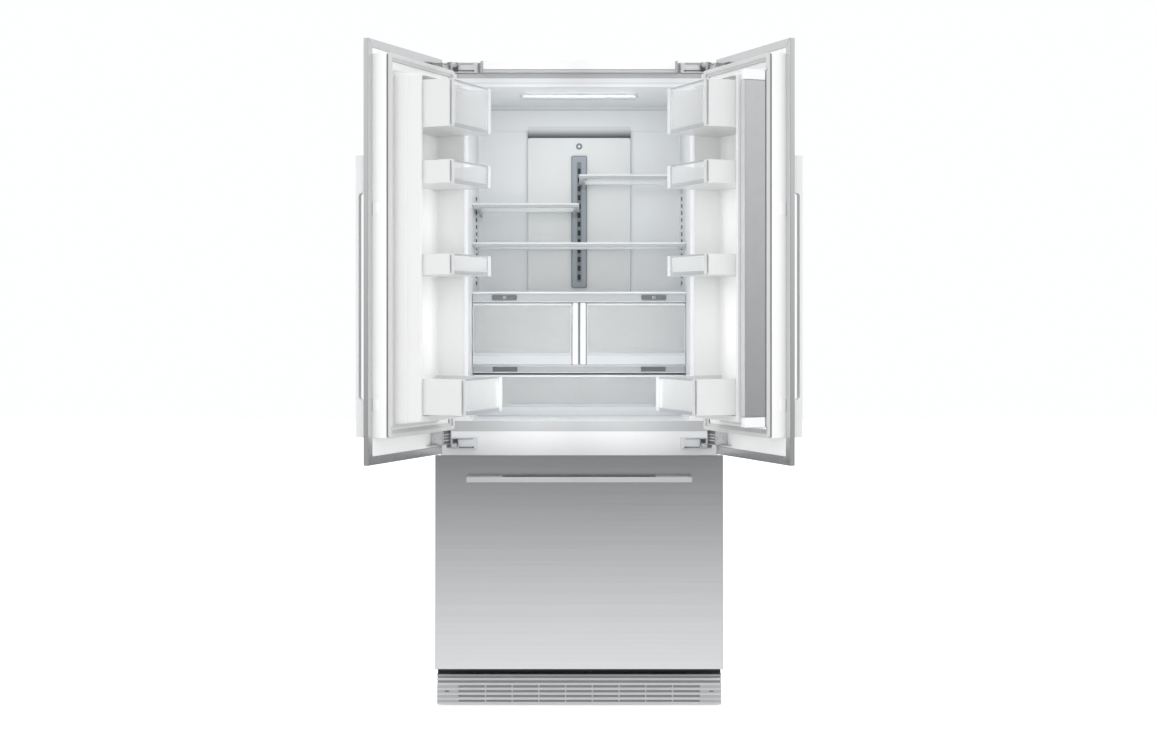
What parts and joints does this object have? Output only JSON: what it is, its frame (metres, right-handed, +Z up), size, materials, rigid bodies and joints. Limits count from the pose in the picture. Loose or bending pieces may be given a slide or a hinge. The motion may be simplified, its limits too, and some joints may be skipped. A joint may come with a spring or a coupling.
{
  "type": "french door refrigerator",
  "caption": "Built-in refrigerator with french doors standing open over a freezer drawer, with door bins, shelves, crispers, a folding mullion and a louvred toe grille.",
  "frame": {"origin": "bottom centre of the bounding box, on the floor, with the doors open", "axes": "+Z up, -Y towards the doors and the person using it, +X to that person's right"},
  "size_m": [1.301, 1.0618, 2.036],
  "materials": {
    "white_paint": "satin",
    "white_liner": "satin",
    "header_white": "satin",
    "grille_grey": "satin",
    "black_paint": "satin",
    "dark_plastic": "matte",
    "painted_coil": "satin",
    "coil_aluminium": "satin",
    "duct_grey": "satin",
    "lens": "gloss",
    "shelf_glass": "gloss",
    "shelf_white": "satin",
    "clear_plastic": "gloss",
    "rail_steel": "satin",
    "stainless": "brushed",
    "door_white": "satin",
    "seal_grey": "matte",
    "handle_satin": "satin",
    "mullion_grey": "satin",
    "trim_grey": "satin"
  },
  "bodies": {
    "cabinet": {"cabinet_shell": "white_paint", "fridge_liner": "white_liner", "freezer_liner": "white_liner", "top_rail": "header_white", "toe_grille": "grille_grey", "compressor": "black_paint", "condenser": "painted_coil", "evaporator": "coil_aluminium", "duct_cover": "duct_grey", "light_lens": "lens", "upper_left_shelf": "shelf_glass", "upper_right_shelf": "shelf_glass", "middle_shelf": "shelf_glass", "crisper_shelf": "shelf_white", "deli_shelf": "shelf_white", "crisper_divider": "shelf_white", "left_foot": "dark_plastic", "right_foot": "dark_plastic", "left_rail": "rail_steel", "right_rail": "rail_steel", "left_lower_hinge_base": "rail_steel", "left_upper_hinge_base": "rail_steel", "right_lower_hinge_base": "rail_steel", "right_upper_hinge_base": "rail_steel"},
    "condenser_fan": {"condenser_fan": "dark_plastic"},
    "rear_rollers": {"rear_rollers": "dark_plastic"},
    "left_door": {"left_door_panel": "stainless", "left_door_inner": "door_white", "left_door_gasket": "seal_grey", "left_door_handle": "handle_satin", "left_door_bin_1": "clear_plastic", "left_door_bin_2": "clear_plastic", "left_door_bin_3": "clear_plastic", "left_door_bin_4": "clear_plastic"},
    "left_lower_link": {"left_lower_hinge_link": "rail_steel"},
    "left_upper_link": {"left_upper_hinge_link": "rail_steel"},
    "left_lid": {"left_dairy_lid": "clear_plastic"},
    "right_door": {"right_door_panel": "stainless", "right_door_inner": "door_white", "right_door_gasket": "seal_grey", "right_door_handle": "handle_satin", "right_door_bin_1": "clear_plastic", "right_door_bin_2": "clear_plastic", "right_door_bin_3": "clear_plastic", "right_door_bin_4": "clear_plastic"},
    "right_lower_link": {"right_lower_hinge_link": "rail_steel"},
    "right_upper_link": {"right_upper_hinge_link": "rail_steel"},
    "right_lid": {"right_dairy_lid": "clear_plastic"},
    "mullion": {"mullion": "mullion_grey"},
    "freezer_drawer": {"freezer_panel": "stainless", "freezer_door_inner": "door_white", "freezer_gasket": "seal_grey", "freezer_handle": "handle_satin", "freezer_basket": "white_liner"},
    "freezer_tray": {"freezer_tray": "clear_plastic"},
    "left_crisper": {"left_crisper": "clear_plastic"},
    "right_crisper": {"right_crisper": "clear_plastic"},
    "deli_drawer": {"deli_drawer": "clear_plastic"},
    "left_humidity_slider": {"left_humidity_slider": "trim_grey"},
    "right_humidity_slider": {"right_humidity_slider": "trim_grey"}
  },
  "joints": [
    {"name": "left_door_hinge", "type": "hinge", "parent": "cabinet", "child": "left_door", "pos_m": [-0.445, -0.07813, 0], "axis": [0, 0, -1], "range_deg": [-113.5, 0]},
    {"name": "left_lower_link_pivot", "type": "hinge", "parent": "cabinet", "child": "left_lower_link", "pos_m": [-0.445, -0.07813, 0], "axis": [0, 0, -1], "range_deg": [-56.75, 0]},
    {"name": "left_upper_link_pivot", "type": "hinge", "parent": "cabinet", "child": "left_upper_link", "pos_m": [-0.445, -0.07813, 0], "axis": [0, 0, -1], "range_deg": [-56.75, 0]},
    {"name": "left_lid_hinge", "type": "hinge", "parent": "left_door", "child": "left_lid", "pos_m": [-0.2261, -0.17331, 1.909], "axis": [0.3987, 0.9171, 0], "range_deg": [0, 80]},
    {"name": "right_door_hinge", "type": "hinge", "parent": "cabinet", "child": "right_door", "pos_m": [0.445, -0.07813, 0], "axis": [0, 0, 1], "range_deg": [-113.5, 0]},
    {"name": "right_lower_link_pivot", "type": "hinge", "parent": "cabinet", "child": "right_lower_link", "pos_m": [0.445, -0.07813, 0], "axis": [0, 0, 1], "range_deg": [-56.75, 0]},
    {"name": "right_upper_link_pivot", "type": "hinge", "parent": "cabinet", "child": "right_upper_link", "pos_m": [0.445, -0.07813, 0], "axis": [0, 0, 1], "range_deg": [-56.75, 0]},
    {"name": "right_lid_hinge", "type": "hinge", "parent": "right_door", "child": "right_lid", "pos_m": [0.2261, -0.17331, 1.909], "axis": [0.3987, -0.9171, 0], "range_deg": [0, 80]},
    {"name": "mullion_flip", "type": "hinge", "parent": "right_door", "child": "mullion", "pos_m": [0.53435, -0.48876, 0], "axis": [0, 0, -1], "range_deg": [-90, 0]},
    {"name": "freezer_drawer_slide", "type": "slide", "parent": "cabinet", "child": "freezer_drawer", "axis": [0, -1, 0], "range_m": [0, 0.4]},
    {"name": "freezer_tray_slide", "type": "slide", "parent": "freezer_drawer", "child": "freezer_tray", "axis": [0, 1, 0], "range_m": [-0.045, 0.075]},
    {"name": "left_crisper_slide", "type": "slide", "parent": "cabinet", "child": "left_crisper", "axis": [0, -1, 0], "range_m": [0, 0.2]},
    {"name": "right_crisper_slide", "type": "slide", "parent": "cabinet", "child": "right_crisper", "axis": [0, -1, 0], "range_m": [0, 0.2]},
    {"name": "deli_drawer_slide", "type": "slide", "parent": "cabinet", "child": "deli_drawer", "axis": [0, -1, 0], "range_m": [0, 0.2]},
    {"name": "left_humidity_slider_slide", "type": "slide", "parent": "cabinet", "child": "left_humidity_slider", "axis": [1, 0, 0], "range_m": [0, 0.03]},
    {"name": "right_humidity_slider_slide", "type": "slide", "parent": "cabinet", "child": "right_humidity_slider", "axis": [-1, 0, 0], "range_m": [0, 0.03]},
    {"name": "condenser_fan_spin", "type": "hinge", "parent": "cabinet", "child": "condenser_fan", "pos_m": [-0.225, 0.35587, 0.1983], "axis": [0, 1, 0], "continuous": true},
    {"name": "rear_rollers_spin", "type": "hinge", "parent": "cabinet", "child": "rear_rollers", "pos_m": [0, 0.46587, 0.024], "axis": [1, 0, 0], "continuous": true}
  ],
  "couplings": [
    {"joint": "left_lower_link_pivot", "follows": "left_door_hinge", "ratio": 0.5},
    {"joint": "left_upper_link_pivot", "follows": "left_door_hinge", "ratio": 0.5},
    {"joint": "right_lower_link_pivot", "follows": "right_door_hinge", "ratio": 0.5},
    {"joint": "right_upper_link_pivot", "follows": "right_door_hinge", "ratio": 0.5}
  ]
}
